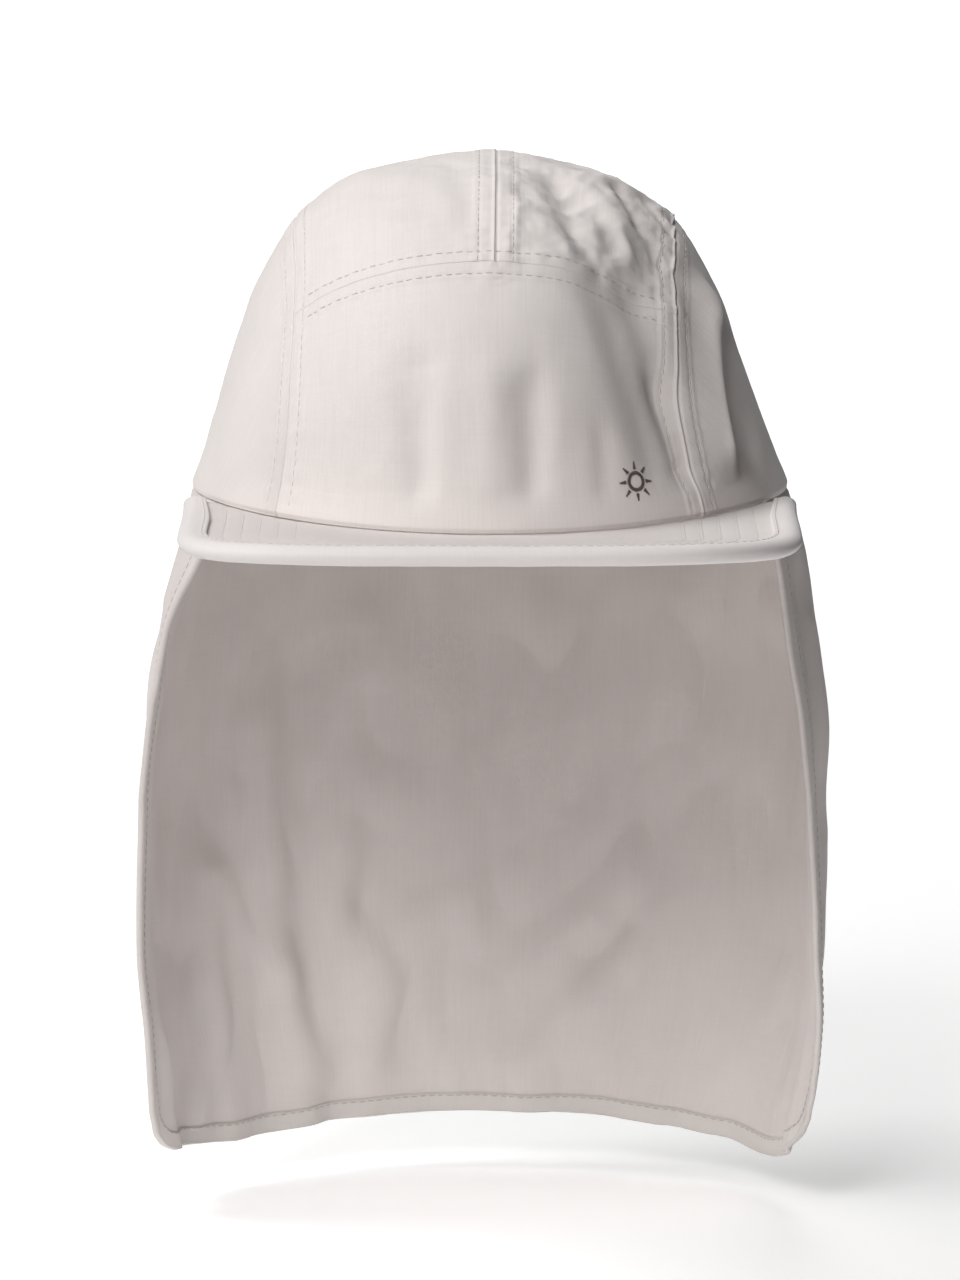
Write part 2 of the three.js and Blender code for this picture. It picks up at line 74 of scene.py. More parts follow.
# Distance from the crown's top on its disc, then height and reach there, as shares.
RINGS = np.array(
    [  # ring, height, width, front, back
        (-0.175, 0.964, -0.29, -0.26, -0.26),
        (0, 1, 0, 0, 0),
        (0.175, 0.964, 0.29, 0.26, 0.26),
        (0.275, 0.925, 0.456, 0.41, 0.41),
        (0.377, 0.837, 0.598, 0.6, 0.58),
        (0.453, 0.746, 0.681, 0.725, 0.69),
        (0.519, 0.661, 0.737, 0.8, 0.765),
        (0.583, 0.576, 0.781, 0.86, 0.825),
        (0.705, 0.409, 0.848, 0.935, 0.91),
        (0.827, 0.24, 0.91, 0.975, 0.965),
        (1, 0, 1, 1, 1),
    ]
).T

# Folds of the crown on its disc: from, to, half-width, and depth as a share of height.
CROWN_FOLDS = [  # side, down, to side, to down, reach, depth
    (-0.2, -0.66, -0.23, -0.9, 0.05, 0.012),
    (0.11, -0.74, 0.13, -0.88, 0.05, 0.01),
    (0.27, -0.46, 0.5, -0.72, 0.06, 0.02),
    (0.16, -0.22, 0.36, -0.36, 0.09, 0.036),
    (0.3, -0.12, 0.42, -0.26, 0.05, 0.014),
    (-0.14, -0.2, -0.42, -0.3, 0.1, 0.007),
    (0.22, 0, 0.29, 0.01, 0.08, 0.013),
    (0.56, -0.3, 0.72, -0.52, 0.06, 0.016),
    (0.6, -0.1, 0.86, -0.32, 0.07, -0.012),
    (-0.5, -0.3, -0.74, -0.5, 0.09, 0.01),
    (0.1, 0.4, 0.34, 0.62, 0.09, 0.014),
    (-0.16, 0.5, -0.3, 0.74, 0.09, 0.012),
    (-0.6, 0.16, -0.84, 0.3, 0.08, 0.012),
]


def read(at, keys, values):
    """A table's column at any place between its rows, on a smooth curve through them."""
    slopes = np.gradient(values)
    slopes[1:-1] = (values[2:] - values[:-2]) / (keys[2:] - keys[:-2])
    slopes[0] = (values[1] - values[0]) / (keys[1] - keys[0])
    slopes[-1] = (values[-1] - values[-2]) / (keys[-1] - keys[-2])
    i = np.clip(np.searchsorted(keys, at, side="right") - 1, 0, len(keys) - 2)
    span = keys[i + 1] - keys[i]
    t = np.clip((at - keys[i]) / span, 0, 1)
    bend = slopes[i] * (t**3 - 2 * t**2 + t) + slopes[i + 1] * (t**3 - t**2)
    ease = 3 * t**2 - 2 * t**3
    return values[i] * (1 - ease) + values[i + 1] * ease + span * bend


def smooth(value, low, high):
    """0 below low, 1 above high, and an eased rise between."""
    t = np.clip((value - low) / (high - low), 0, 1)
    return t * t * (3 - 2 * t)


def folded(folds, side, down):
    """Depth of all the folds of a table at each place on a piece."""
    total = np.zeros_like(side)
    for from_side, from_down, to_side, to_down, reach, depth in folds:
        run, fall = to_side - from_side, to_down - from_down
        t = ((side - from_side) * run + (down - from_down) * fall) / (run**2 + fall**2)
        t = np.clip(t, 0, 1)
        away = np.hypot(side - from_side - t * run, down - from_down - t * fall)
        total += depth * np.exp(-((away / reach) ** 2))
    return total


def normals(surface, u, v, step=0.002):
    """Outward normals of a surface given as a function of two numbers."""
    across = surface(u + step, v) - surface(u - step, v)
    along = surface(u, v + step) - surface(u, v - step)
    n = np.cross(across, along)
    return n / np.maximum(np.linalg.norm(n, axis=-1, keepdims=True), 1e-12)


def rim_height(x):
    return RIM_LIFT * (x / BRIM_SEAM_HALF) ** 2


def dome(side, back):
    ring = np.maximum(1e-6, np.hypot(side, back))
    keys, heights, widths, fronts, backs = RINGS
    height = read(ring, keys, heights)
    front, rear = RIM_FRONT * read(ring, keys, fronts), RIM_BACK * read(ring, keys, backs)
    depth = np.where(back < 0, front, rear)
    x = RIM_HALF_WIDTH * read(ring, keys, widths) * side / ring
    base = rim_height(x) + BRIM_THICKNESS / 2 + SEAM_GAP
    z = CROWN_HEIGHT * height + base * (1 - height)
    return np.stack([x - CROWN_LEAN * smooth(height, 0, 0.5), depth * back / ring, z], -1)


def crown(side, back):
    held = 1 - smooth(np.hypot(side, back), 0.86, 1)
    press = held * CROWN_HEIGHT * folded(CROWN_FOLDS, side, back)
    return dome(side, back) - press[..., None] * normals(dome, side, back)


# Seams on the crown's disc.
MIDDLE_SEAM = 2 * MM / RIM_HALF_WIDTH
SIDE_TOP, SIDE_SPREAD = 0.405, 0.285
FRONT_MIDDLE, FRONT_RISE = -0.47, 0.109
RIM_TURN = math.asin(SIDE_TOP + SIDE_SPREAD)
SIDE_END = math.cos(RIM_TURN)


def side_seam(back):
    return SIDE_TOP + SIDE_SPREAD * (back / SIDE_END) ** 2


JUNCTION_SIDE = side_seam(FRONT_MIDDLE + FRONT_RISE)


def front_seam(side):
    return FRONT_MIDDLE + FRONT_RISE * (side / JUNCTION_SIDE) ** 2


class Seam:
    """A sewn line on the crown. Its sizes are in millimetres: how far its two rows of
    stitches lie from it, how much they pucker the cloth, how deep its join is, and how
    far the cloth's folded edge stands up beside the join."""

    def __init__(self, name, side, back, row, pucker, groove, ridge):
        self.name, self.side, self.back = name, side, back
        self.row, self.pucker = row * MM, pucker * MM
        self.groove, self.ridge = groove * MM, ridge * MM
        self.points = crown(side, back)
        steps = np.linalg.norm(np.diff(self.points, axis=0), axis=1)
        self.run = np.concatenate([[0], np.cumsum(steps)])
        self.way = np.gradient(self.points, self.run, axis=0)
        self.sideways = np.cross(normals(crown, side, back), self.way)

    def near(self, points):
        """How far each point lies to the side of the seam, and how far along it."""
        nearest = np.empty(len(points), int)
        for start in range(0, len(points), 4000):
            part = points[start : start + 4000]
            squares = (part**2).sum(1)[:, None] - 2 * part @ self.points.T
            nearest[start : start + 4000] = (squares + (self.points**2).sum(1)).argmin(1)
        gap = points - self.points[nearest]
        step = self.run[-1] / (STEPS - 1)
        ahead = np.clip((gap * self.way[nearest]).sum(1), -step, step)
        away = np.linalg.norm(gap - ahead[:, None] * self.way[nearest], axis=1)
        turn = np.sign((gap * self.sideways[nearest]).sum(1))
        return away * turn, self.run[nearest] + ahead


STEPS = 240
over_brow = np.linspace(-JUNCTION_SIDE, JUNCTION_SIDE, STEPS)
over_top = np.linspace(FRONT_MIDDLE, math.sqrt(1 - MIDDLE_SEAM**2), STEPS)
over_ear = np.linspace(-SIDE_END, SIDE_END, STEPS)
SEAMS = [  # name, side, back, row, pucker, groove, ridge
    Seam("front_seam", over_brow, front_seam(over_brow), 3.9, 0.14, 0.08, 0.06),
    Seam("middle_seam", np.full(STEPS, MIDDLE_SEAM), over_top, 5.1, 0.26, 0.3, 0.4),
    Seam("left_seam", -side_seam(over_ear), over_ear, 4.6, 0.08, 0.45, 0.15),
    Seam("right_seam", side_seam(over_ear), over_ear, 4.6, 0.14, 0.45, 0.5),
]

JOIN_WIDTH = 0.5 * MM
BAND_LIFT = 0.3 * MM
STITCH_BITE, STITCH_BITE_WIDTH = 0.22 * MM, 0.55 * MM
PUCKER_LENGTH = 6.3 * MM
FOLD_AWAY, FOLD_RISE = 17 * MM, 5.6 * MM


def seam_relief(points):
    """How far the crown's cloth stands out or in round its seams."""
    lift = np.zeros(len(points))
    for seam in SEAMS:
        offset, run = seam.near(points)
        away = np.abs(offset)
        lift += BAND_LIFT * (1 - smooth(away, seam.row + 0.6 * MM, seam.row + 2.2 * MM))
        lift += seam.ridge * np.exp(-(((offset - 0.7 * JOIN_WIDTH) / JOIN_WIDTH) ** 2))
        lift -= seam.groove * np.exp(-(((offset + 0.7 * JOIN_WIDTH) / JOIN_WIDTH) ** 2))
        lift -= STITCH_BITE * np.exp(-(((away - seam.row) / STITCH_BITE_WIDTH) ** 2))
        phase = 2 * math.pi * run / PUCKER_LENGTH + 2.4 * np.sin(run / (17 * MM))
        strength = 0.55 + 0.45 * np.sin(run / (29 * MM) + 1.3)
        spread = np.exp(-(((away - seam.row) / (3.2 * MM)) ** 2))
        lift += seam.pucker * strength * spread * np.sin(phase)
    return lift + pressed_fold(points)


def pressed_fold(points):
    """The side panel's cloth rises behind the right seam and drops at a pressed fold."""
    offset, run = SEAMS[-1].near(points)
    rise = smooth(-offset, 4 * MM, FOLD_AWAY) * (1 - smooth(-offset, FOLD_AWAY, FOLD_AWAY + 7 * MM))
    return FOLD_RISE * rise * smooth(run, 6 * MM, 20 * MM) * (1 - smooth(run, 72 * MM, 98 * MM))


def crinkle(points, size, seed):
    """Soft random rumples of a given size, from -1 to 1."""
    shift = Vector((seed * 7.3, seed * 3.1, seed * 5.7))
    scale = 1 / size
    return np.array([noise.noise(Vector(p) * scale + shift) for p in points.tolist()])


def creased(points, size, seed):
    """Crumpled cloth of a given scale: flat facets between sharp creases, -1 to 1."""
    return 1 - 4 * np.abs(crinkle(points, size, seed))


# Creases too fine for the plain solids, in the same form as the folds above. The first
# two rows are the hollow in front of the right seam.
CREASES = [
    (0.37, -0.43, 0.5, -0.555, 0.07, 0.026),
    (0.5, -0.555, 0.59, -0.665, 0.06, 0.03),
    (0.74, -0.2, 0.8, -0.38, 0.05, 0.008),
    (-0.152, -0.665, -0.195, -0.88, 0.042, 0.009),
    (0.138, -0.69, 0.134, -0.9, 0.045, 0.01),
    (0.336, -0.754, 0.36, -0.86, 0.035, 0.007),
    (0.013, -0.7, 0.002, -0.9, 0.05, -0.006),
    (0.137, -0.17, 0.191, -0.34, 0.035, 0.016),
    (0.191, -0.34, 0.26, -0.4, 0.03, 0.014),
    (0.272, -0.113, 0.333, -0.215, 0.022, 0.012),
    (0.333, -0.215, 0.4, -0.26, 0.022, 0.01),
    (0.339, -0.071, 0.4, -0.151, 0.018, 0.008),
    (0.214, -0.183, 0.316, -0.305, 0.03, -0.01),
    (0.7, -0.63, 0.716, -0.675, 0.01, 0.007),
    (-0.07, -0.12, -0.03, -0.36, 0.03, 0.006),
]


def rumpled(side, back):
    """How rumpled the crown is at a place, from 0 to 1: most on the right of the top."""
    top = smooth(back - front_seam(side), -0.02, 0.05)
    right = smooth(side, MIDDLE_SEAM - 0.02, MIDDLE_SEAM + 0.05)
    right *= 1 - smooth(side - side_seam(back), -0.01, 0.05)
    return 0.12 + 0.22 * top * (1 - smooth(side, 0.4, 0.6)) + 0.66 * top * right


def crown_cloth(side, back):
    """The crown's sewn and rumpled cloth at places on the disc."""
    points = crown(side, back)
    ring = np.hypot(side, back)
    loose = 1 - smooth(ring, 0.9, 0.98)
    rumples = 0.9 * crinkle(points, 15 * MM, 1) + 0.12 * crinkle(points, 6 * MM, 5)
    rumples += 0.45 * creased(points, 11 * MM, 31) + 0.12 * creased(points, 4 * MM, 35)
    lift = seam_relief(points) + rumpled(side, back) * loose * rumples * MM
    lift -= loose * CROWN_HEIGHT * folded(CREASES, side, back)
    lift += 0.45 * MM * smooth(ring, 0.92, 0.985) - 0.7 * MM * smooth(ring, 0.99, 1)
    return points + lift[:, None] * normals(crown, side, back)


def cloth_piece(name, columns, rows, size, place, thickness, gather=0.0):
    """A sheet of cloth: a grid laid where place says, with its threads along its UVs. A
    thickness of 0 leaves it a plain skin.
    gather draws the grid's lines towards the sheet's edges, from 0, evenly, to 1."""
    bm = bmesh.new()
    uv = bm.loops.layers.uv.new("UVMap")
    bmesh.ops.create_grid(bm, x_segments=columns, y_segments=rows, size=0.5)
    grid = np.array([v.co[:2] for v in bm.verts]) + 0.5
    grid = (1 - gather) * grid + gather * (1 - np.cos(math.pi * grid)) / 2
    for vert, point in zip(bm.verts, place(grid[:, 0], grid[:, 1])):
        vert.co = point
    for face in bm.faces:
        face.smooth = True
        for loop in face.loops:
            loop[uv].uv = grid[loop.vert.index] * size
    mesh = bpy.data.meshes.new(name)
    bm.to_mesh(mesh)
    bm.free()
    piece = bpy.data.objects.new(name, mesh)
    bpy.context.collection.objects.link(piece)
    if thickness:
        shell = piece.modifiers.new("cloth", "SOLIDIFY")
        shell.thickness, shell.offset = thickness, -1
        shell.use_even_offset = False
    return piece


class Wire:
    """A socket of a material, with arithmetic that adds its Math nodes."""

    def __init__(self, tree, socket):
        self.tree, self.socket = tree, socket

    def maths(self, operation, first, second=None):
        made = self.tree.nodes.new("ShaderNodeMath")
        made.operation = operation
        for slot, value in zip(made.inputs, (first, second)):
            if isinstance(value, Wire):
                self.tree.links.new(value.socket, slot)
            elif value is not None:
                slot.default_value = value
        return Wire(self.tree, made.outputs[0])

    def __add__(self, other):
        return self.maths("ADD", self, other)

    def __sub__(self, other):
        return self.maths("SUBTRACT", self, other)

    def __rsub__(self, other):
        return self.maths("SUBTRACT", other, self)

    def __mul__(self, other):
        return self.maths("MULTIPLY", self, other)

    __radd__, __rmul__ = __add__, __mul__

    def sine(self):
        return self.maths("SINE", self)


class Finish:
    """A material, built up one node at a time."""

    def __init__(self, name):
        self.material = bpy.data.materials.new(name)
        self.material.use_nodes = True
        self.tree = self.material.node_tree
        self.tree.nodes.clear()

    def node(self, kind, settings, inputs, output=0):
        made = self.tree.nodes.new("ShaderNode" + kind)
        for key, value in settings.items():
            setattr(made, key, value)
        for key, value in inputs.items():
            if isinstance(value, Wire):
                self.tree.links.new(value.socket, made.inputs[key])
            else:
                made.inputs[key].default_value = value
        return Wire(self.tree, made.outputs[output]) if made.outputs else made


def shade(colour, by=1.0):
    """A colour of 0 to 255 channels as the shader wants it, lightened or darkened."""
    linear = [(c / 255) ** 2.2 * by for c in colour]
    return (*linear, 1)


def woven(name, colour, streaks=0.5, pitch=0.62, slub=1.0, rough=0.88, mottle=0.3):
    """Plain woven cloth: fine threads both ways, slubs along them, and a soft sheen."""
    f = Finish(name)
    uv = f.node("TexCoord", {}, {}, "UV")
    spot = f.node("TexCoord", {}, {}, "Object")
    across = f.node("SeparateXYZ", {}, {"Vector": uv}, "X")
    along = f.node("SeparateXYZ", {}, {"Vector": uv}, "Y")
    turn = 2 * math.pi / (pitch * MM)
    threads = (across * turn).sine() * (along * turn).sine()

    def slubs(scale_across, scale_along, detail):
        vector = f.node(
            "VectorMath", {"operation": "MULTIPLY"},
            {0: uv, 1: (scale_across, scale_along, 1)},
        )
        return f.node(
            "TexNoise", {"noise_dimensions": "2D"},
            {"Vector": vector, "Scale": 1.0, "Detail": detail, "Roughness": 0.6}, "Fac",
        )

    warp = slubs(1400, 42, 3.0)
    weft = slubs(42, 1400, 3.0)
    blotch = f.node(
        "TexNoise", {}, {"Vector": spot, "Scale": 34.0, "Detail": 3.0}, "Fac"
    )
    tone = warp * (0.5 * streaks) + weft * (0.25 * streaks) + blotch * mottle
    mixed = f.node(
        "Mix", {"data_type": "RGBA"},
        {0: tone + threads * 0.05, 6: shade(colour, 0.9), 7: shade(colour, 1.08)}, 2,
    )
    height = warp * (0.6 * slub) + weft * (0.35 * slub) + threads * 0.35
    bump = f.node("Bump", {}, {"Height": height, "Strength": 0.55, "Distance": 0.00012})
    surface = f.node(
        "BsdfPrincipled", {},
        {
            "Base Color": mixed, "Roughness": rough - 0.08 * blotch, "Normal": bump,
            "Sheen Weight": 0.18, "Sheen Roughness": 0.5, "Specular IOR Level": 0.22,
        },
    )
    f.node("OutputMaterial", {}, {"Surface": surface})
    return f.material


def mix(low, high, t):
    return low + (high - low) * t


def on_rim(turn):
    return np.stack([np.sin(turn), -np.cos(turn)], -1)


def spots(side, back):
    return np.stack(np.broadcast_arrays(side, back), -1)


def patch(low, high, first, second):
    """A place function for a panel between four curves on the crown's disc."""

    def place(u, v):
        one, nil = np.ones_like(u), np.zeros_like(u)
        over, up = u[:, None], v[:, None]
        corners = (
            low(nil) * (1 - over) * (1 - up) + low(one) * over * (1 - up)
            + high(nil) * (1 - over) * up + high(one) * over * up
        )
        sides = low(u) * (1 - up) + high(u) * up + first(v) * (1 - over) + second(v) * over
        return sides - corners

    return place


def front_edge(turn):
    """The front panel's edge along a side seam, from the rim up."""

    def edge(v):
        back = mix(-math.cos(RIM_TURN), front_seam(JUNCTION_SIDE), v)
        return spots(turn * side_seam(back), back)

    return edge


def panel(node, columns, rows, size, place):
    """One panel of the crown, in place of its plain solid."""
    piece = cloth_piece(
        node + "_cloth", columns, rows, [s * MM for s in size],
        lambda u, v: crown_cloth(*place(u, v).T), CLOTH, gather=0.65,
    )
    piece.data.materials.append(CROWN_CLOTH)
    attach(piece, "root")
    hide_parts(node)


CROWN_CLOTH = woven("crown_cloth", (222, 215, 212), streaks=1.25, slub=1.3)

panel(
    "front_panel", 150, 110, (118, 88),
    patch(
        lambda u: on_rim(mix(-RIM_TURN, RIM_TURN, u)),
        lambda u: spots(mix(-1, 1, u) * JUNCTION_SIDE, front_seam(mix(-1, 1, u) * JUNCTION_SIDE)),
        front_edge(-1),
        front_edge(1),
    ),
)


# Two top panels run from the front seam over the top to the rim behind.
def top_place(turn):
    inner = turn * MIDDLE_SEAM
    back_turn = math.pi - RIM_TURN

    def low(u):
        side = mix(inner, JUNCTION_SIDE, u)
        return spots(turn * side, front_seam(side))

    def high(u):
        rim = on_rim(mix(math.pi - math.asin(inner), back_turn, u))
        return rim * (turn, 1)

    def middle(v):
        return spots(turn * inner, mix(float(front_seam(inner)), math.cos(math.asin(inner)), v))

    def outside(v):
        back = mix(float(front_seam(JUNCTION_SIDE)), math.cos(RIM_TURN), v)
        return spots(turn * side_seam(back), back)

    if turn > 0:
        return patch(low, high, middle, outside)
    return patch(lambda u: low(1 - u), lambda u: high(1 - u), outside, middle)


panel("top_panel_left", 84, 190, (58, 180), top_place(-1))
panel("top_panel_right", 84, 190, (58, 180), top_place(1))


# Two side panels fill the bows of the side seams, down to the rim over the ears.
def side_place(turn):
    blunt = RIM_TURN + 0.004

    def rim(u):
        return on_rim(mix(blunt, math.pi - blunt, u)) * (turn, 1)

    def seam(u):
        back = mix(-1, 1, u) * (SIDE_END - 0.003)
        return spots(turn * side_seam(back), back)

    def straight(a, b):
        return lambda v: a + (b - a) * v[:, None]

    nil, one = np.zeros(1), np.ones(1)
    ends = straight(rim(nil), seam(nil)), straight(rim(one), seam(one))
    if turn > 0:
        return patch(rim, seam, *ends)
    return patch(lambda u: rim(1 - u), lambda u: seam(1 - u), *ends[::-1])


panel("side_panel_left", 180, 84, (150, 84), side_place(-1))
panel("side_panel_right", 180, 84, (150, 84), side_place(1))


# ---- Crown stitches ----
# Two rows of lockstitch hold each seam's pressed edges down. The thread is spun
# cotton a shade darker than the cloth, and each stitch sinks a little at its ends.

STITCH_PITCH = 2.9 * MM
STITCH_SIZE = (2.1 * MM, 0.42 * MM, 0.34 * MM)


def thread(name, colour):
    """Spun sewing thread: tiny fibres and a soft sheen."""
    f = Finish(name)
    spot = f.node("TexCoord", {}, {}, "Object")
    fibre = f.node("TexNoise", {}, {"Vector": spot, "Scale": 2600.0, "Detail": 2.0}, "Fac")
    tint = f.node(
        "Mix", {"data_type": "RGBA"},
        {0: fibre, 6: shade(colour, 0.75), 7: shade(colour, 1.2)}, 2,
    )
    bump = f.node("Bump", {}, {"Height": fibre, "Strength": 0.5, "Distance": 0.00006})
    surface = f.node(
        "BsdfPrincipled", {},
        {
            "Base Color": tint, "Roughness": 0.62 + 0.12 * fibre, "Normal": bump,
            "Sheen Weight": 0.3, "Sheen Roughness": 0.4,
        },
    )
    f.node("OutputMaterial", {}, {"Surface": surface})
    return f.material


def sewn(name, rows, finish):
    """One object of stitches, from rows of their centres, ways, outs and sizes."""
    whole = bmesh.new()
    places = [stitch for row in rows for stitch in zip(*row)]
    for start in range(0, len(places), 40):
        bm = bmesh.new()
        for centre, way, out, size in places[start : start + 40]:
            z = Vector(out).normalized()
            x = Vector(way)
            x = (x - x.dot(z) * z).normalized()
            turn = Matrix((x, z.cross(x), z)).transposed().to_4x4()
            shape = Matrix.Diagonal((*(s / 2 for s in size), 1))
            lying = shape @ Matrix.Rotation(math.pi / 2, 4, "Y")
            bmesh.ops.create_uvsphere(
                bm, u_segments=6, v_segments=4, radius=1,
                matrix=Matrix.Translation(centre) @ turn @ lying,
            )
        part = bpy.data.meshes.new(name)
        bm.to_mesh(part)
        bm.free()
        whole.from_mesh(part)
        bpy.data.meshes.remove(part)
    for face in whole.faces:
        face.smooth = True
    mesh = bpy.data.meshes.new(name)
    whole.to_mesh(mesh)
    whole.free()
    piece = bpy.data.objects.new(name, mesh)
    bpy.context.collection.objects.link(piece)
    piece.data.materials.append(finish)
    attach(piece, "root")
    return piece


def evenly(points, outs, pitch=STITCH_PITCH, size=STITCH_SIZE, sink=0.3):
    """A row of stitches at even steps along a line of points on the cloth."""
    steps = np.linalg.norm(np.diff(points, axis=0), axis=1)
    run = np.concatenate([[0], np.cumsum(steps)])
    count = int(run[-1] / pitch)
    at = (np.arange(count) + 0.5) * run[-1] / count
    centres = np.stack([np.interp(at, run, points[:, k]) for k in range(3)], -1)
    ahead = np.stack([np.interp(at + pitch / 3, run, points[:, k]) for k in range(3)], -1)
    behind = np.stack([np.interp(at - pitch / 3, run, points[:, k]) for k in range(3)], -1)
    facing = np.stack([np.interp(at, run, outs[:, k]) for k in range(3)], -1)
    sizes = np.tile(size, (count, 1))
    return centres + facing * size[2] * (0.5 - sink), ahead - behind, facing, sizes


def moved(side, back, shift):
    """Places on the disc that lie a short way along the crown from others, in metres."""
    step = 0.002
    across = (crown(side + step, back) - crown(side - step, back)) / (2 * step)
    along = (crown(side, back + step) - crown(side, back - step)) / (2 * step)
    aa, ab, bb = (across**2).sum(1), (across * along).sum(1), (along**2).sum(1)
    sa, sb = (across * shift).sum(1), (along * shift).sum(1)
    area = aa * bb - ab**2
    return side + (bb * sa - ab * sb) / area, back + (aa * sb - ab * sa) / area


def seam_row(seam, turn):
    """The stitches down one side of a seam."""
    way = np.gradient(seam.points, axis=0)
    way /= np.linalg.norm(way, axis=1, keepdims=True)
    sideways = np.cross(normals(crown, seam.side, seam.back), way)
    side, back = moved(seam.side, seam.back, sideways * turn * seam.row)
    keep = np.hypot(side, back) < 0.985
    if seam.name == "front_seam":
        keep &= np.abs(side) < side_seam(back) - SEAMS[2].row / RIM_HALF_WIDTH
    side, back = side[keep], back[keep]
    return evenly(crown_cloth(side, back), normals(crown, side, back))


CROWN_THREAD = thread("crown_thread", (203, 193, 186))
# The left seam's stitches take a paler copy of the crown's thread: painted light for the brightly
# lit left side of the crown.
LIT_SIDE_THREAD = thread("lit_side_thread", (217, 210, 206))
for seam in SEAMS:
    finish = LIT_SIDE_THREAD if seam.name == "left_seam" else CROWN_THREAD
    sewn(seam.name + "_stitches", [seam_row(seam, -1), seam_row(seam, 1)], finish)


# ---- Embroidered sun ----
# A small badge low on the right of the front panel: a ring and eight short rays in
# satin stitch, sewn in brown thread straight through the cloth.

SUN_SIDE, SUN_BACK = 0.451, -0.792
SUN_RING, SUN_RING_BAND = 2.5 * MM, 1.25 * MM
SUN_RAY_START, SUN_RAY_END, SUN_RAY_WIDTH = 3.7 * MM, 5.6 * MM, 1.3 * MM
SUN_RAYS = 8
SATIN = 0.34 * MM


def on_badge(right, up):
    """Centres and normals on the front panel, from places in the badge's own plane."""
    middle = np.array([SUN_SIDE]), np.array([SUN_BACK])
    out = normals(crown, *middle)[0]
    level = np.cross((0, 0, 1), out)
    level /= np.linalg.norm(level)
    rising = np.cross(out, level)
    shift = right[:, None] * level + up[:, None] * rising
    same = np.full_like(right, SUN_SIDE), np.full_like(right, SUN_BACK)
    side, back = moved(*same, shift)
    return crown_cloth(side, back), normals(crown, side, back), level, rising


def satin(reach, turn, way, length):
    """Satin stitches at places round the badge, lying along way, each with its length."""
    centres, outs, level, rising = on_badge(reach * np.cos(turn), reach * np.sin(turn))
    ways = np.cos(way)[:, None] * level + np.sin(way)[:, None] * rising
    sizes = np.stack([length, 0 * length + SATIN * 1.15, 0 * length + 0.5 * MM], -1)
    return centres + outs * 0.12 * MM, ways, outs, sizes


RING_STITCHES, RAY_STITCHES = 46, 6
turn = np.arange(RING_STITCHES) * 2 * math.pi / RING_STITCHES
ring = satin(SUN_RING + 0 * turn, turn, turn, SUN_RING_BAND + 0 * turn)
ray, share = np.meshgrid(np.arange(SUN_RAYS), np.linspace(0, 1, RAY_STITCHES))
turn, share = 2 * math.pi * ray.ravel() / SUN_RAYS, share.ravel()
rays = satin(
    mix(SUN_RAY_START, SUN_RAY_END, share), turn, turn + math.pi / 2,
    SUN_RAY_WIDTH * (1 - 0.6 * share),
)
SUN_THREAD = thread("sun_thread", (96, 84, 78))
sewn("embroidered_sun", [ring, rays], SUN_THREAD)


# ---- Brim ----
# A soft padded brim: two faces of the crown's cloth over a thin core, quilted by rows
# of stitches that follow its edge. It is sewn in under the crown's lower edge.

BRIM_LENGTH = 68 * MM
BRIM_HALF_WIDTH = 88.6 * MM
BRIM_FRONT_LIFT = 2.7 * MM
BRIM_SAG = 1.2 * MM
TAPE = 1 * MM

# Half of the brim's edge in plan, as the handles of three curves from the middle of
# the front: share of the half-width, and share of the way out from the brim's end.
BRIM_CORNER = [
    (0, 1), (0.32, 1), (0.52, 0.99), (0.679, 0.945), (0.868, 0.885), (0.992, 0.79),
    (0.994, 0.63), (0.993, 0.4), (0.997, 0.18), (1.008, 0),
]


def brim_edge():
    across, ahead = np.array(BRIM_CORNER).T
    near, far = BRIM_END * RIM_FRONT, RIM_FRONT + BRIM_LENGTH
    x = across * mix(RIM_HALF_WIDTH, BRIM_HALF_WIDTH, ahead)
    handles = np.stack([x, -mix(near, far, ahead)], -1)
    t = np.linspace(0, 1, 300)[:, None]
    line = [
        (1 - t) ** 3 * a + 3 * (1 - t) ** 2 * t * b + 3 * (1 - t) * t**2 * c + t**3 * d
        for a, b, c, d in (handles[i : i + 4] for i in (0, 3, 6))
    ]
    return np.concatenate([line[0], line[1][1:], line[2][1:]])


EDGE = brim_edge()
EDGE_RUN = np.concatenate([[0], np.cumsum(np.linalg.norm(np.diff(EDGE, axis=0), axis=1))])
EDGE_WAY = np.gradient(EDGE, EDGE_RUN, axis=0)
EDGE_WAY /= np.linalg.norm(EDGE_WAY, axis=1, keepdims=True)
WHOLE_EDGE = np.concatenate([EDGE[::-1] * (-1, 1), EDGE[1:]])


def brim_plan(along, inset):
    """A place on the brim in plan, in from its edge. along is -1 at the left end."""
    turn = np.where(along < 0, -1, 1)
    run = np.abs(along) * EDGE_RUN[-1]
    x, y = (np.interp(run, EDGE_RUN, EDGE[:, k]) for k in (0, 1))
    way_x, way_y = (np.interp(run, EDGE_RUN, EDGE_WAY[:, k]) for k in (0, 1))
    return turn * (x - inset * way_y), y + inset * way_x


def brim_height(x, y):
    out = smooth((-y - RIM_FRONT) / BRIM_LENGTH, 0, 1)
    sag = BRIM_SAG * (x / BRIM_HALF_WIDTH) ** 2 * 4 * out * (1 - out)
    return mix(rim_height(x), BRIM_FRONT_LIFT, out) - sag


QUILT_START, QUILT_STEP, QUILT_ROWS = 12.8 * MM, 5.1 * MM, 5
QUILT_DEPTH, QUILT_WIDTH = 0.16 * MM, 0.75 * MM


def edge_distance(x, y):
    """How far in a place is from the brim's edge, in plan."""
    places = spots(x, y)
    away = np.empty(len(x))
    for start in range(0, len(x), 4000):
        gaps = places[start : start + 4000, None] - WHOLE_EDGE[None]
        away[start : start + 4000] = np.linalg.norm(gaps, axis=2).min(1)
    return away


